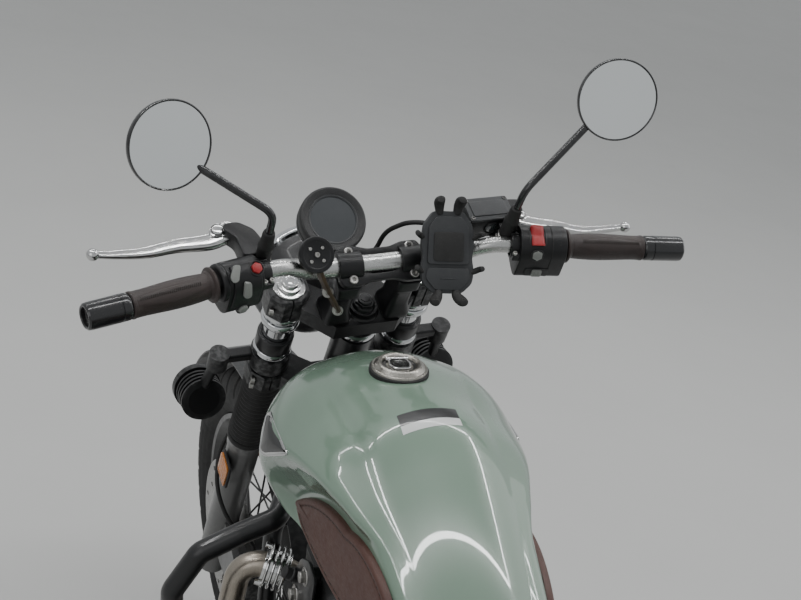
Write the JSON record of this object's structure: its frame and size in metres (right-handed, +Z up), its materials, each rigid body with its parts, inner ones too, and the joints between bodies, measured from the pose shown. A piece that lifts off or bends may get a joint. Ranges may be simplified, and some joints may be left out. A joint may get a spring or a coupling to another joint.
{
  "type": "cafe racer motorcycle",
  "caption": "Cafe racer motorcycle with a round green tank, wide handlebar, wire wheels, twin exhausts and flat seat, leaning on its side stand.",
  "frame": {"origin": "centre of the bounding box, on the ground", "axes": "+Y points forward along the motorcycle, +X to the rider's right, +Z up"},
  "size_m": [0.8266, 2.0982, 1.385],
  "materials": {
    "tank_green": "gloss",
    "frame_black": "satin",
    "engine_black": "satin",
    "polished": "polished",
    "satin_nickel": "satin",
    "exhaust_steel": "brushed",
    "fork_grey": "satin",
    "chrome": "polished",
    "wheel_black": "satin",
    "tyre_rubber": "matt",
    "black_rubber": "matt",
    "black_plastic": "matt",
    "bar_end_black": "satin",
    "grip_brown": "matt",
    "seat_leather": "satin",
    "pad_brown": "satin",
    "mirror": "polished",
    "clear_glass": "clear",
    "lamp_red": "gloss"
  },
  "bodies": {
    "chassis": {"chain": "exhaust_steel", "crash_bar": "frame_black", "cylinders": "engine_black", "engine_cases": "engine_black", "engine_covers": "polished", "exhaust": "exhaust_steel", "filler_cap": "satin_nickel", "footpegs": "frame_black", "frame": "frame_black", "intakes": "black_plastic", "knee_pads": "pad_brown", "rear_fender": "frame_black", "seat": "seat_leather", "shock_springs": "frame_black", "shocks": "chrome", "side_covers": "tank_green", "swingarm": "frame_black", "tail_lamp": "lamp_red", "tank": "tank_green"},
    "steering": {"fork_tubes": "chrome", "yokes": "frame_black", "ignition_lock": "polished", "fork_gaiters": "black_rubber", "fork_legs": "fork_grey", "front_caliper": "black_plastic", "handlebar": "exhaust_steel", "bar_clamps": "frame_black", "lever_perches": "black_plastic", "levers": "polished", "mirror_arms": "black_plastic", "mirror_glass": "mirror", "gauge": "black_plastic", "bar_accessories": "black_plastic", "headlamp": "frame_black", "headlamp_glass": "clear_glass", "aux_lamps": "frame_black", "front_fender": "frame_black", "cables": "black_rubber", "grips": "grip_brown", "bar_ends": "bar_end_black", "switchgear": "black_plastic"},
    "front_wheel_set": {"front_tyre": "tyre_rubber", "front_wheel": "wheel_black", "front_disc": "exhaust_steel"},
    "rear_wheel_set": {"rear_tyre": "tyre_rubber", "rear_wheel": "wheel_black", "rear_disc": "exhaust_steel"},
    "side_stand_arm": {"side_stand": "frame_black"}
  },
  "joints": [
    {"name": "steering", "type": "hinge", "parent": "chassis", "child": "steering", "pos_m": [0.00441, 0.33347, 0.96186], "axis": [-0.0935, -0.4462, 0.89], "range_deg": [-38.5, 25.5]},
    {"name": "front_wheel_spin", "type": "hinge", "parent": "steering", "child": "front_wheel_set", "pos_m": [0.06662, 0.71258, 0.31579], "axis": [0.9828, 0.1013, 0.1541], "continuous": true},
    {"name": "rear_wheel_spin", "type": "hinge", "parent": "chassis", "child": "rear_wheel_set", "pos_m": [0.07202, -0.72713, 0.3186], "axis": [0.9945, 0, 0.1045], "continuous": true},
    {"name": "side_stand", "type": "hinge", "parent": "chassis", "child": "side_stand_arm", "pos_m": [-0.02974, -0.02753, 0.15788], "axis": [-0.9678, -0.1051, 0.2286], "range_deg": [0, 95]}
  ]
}
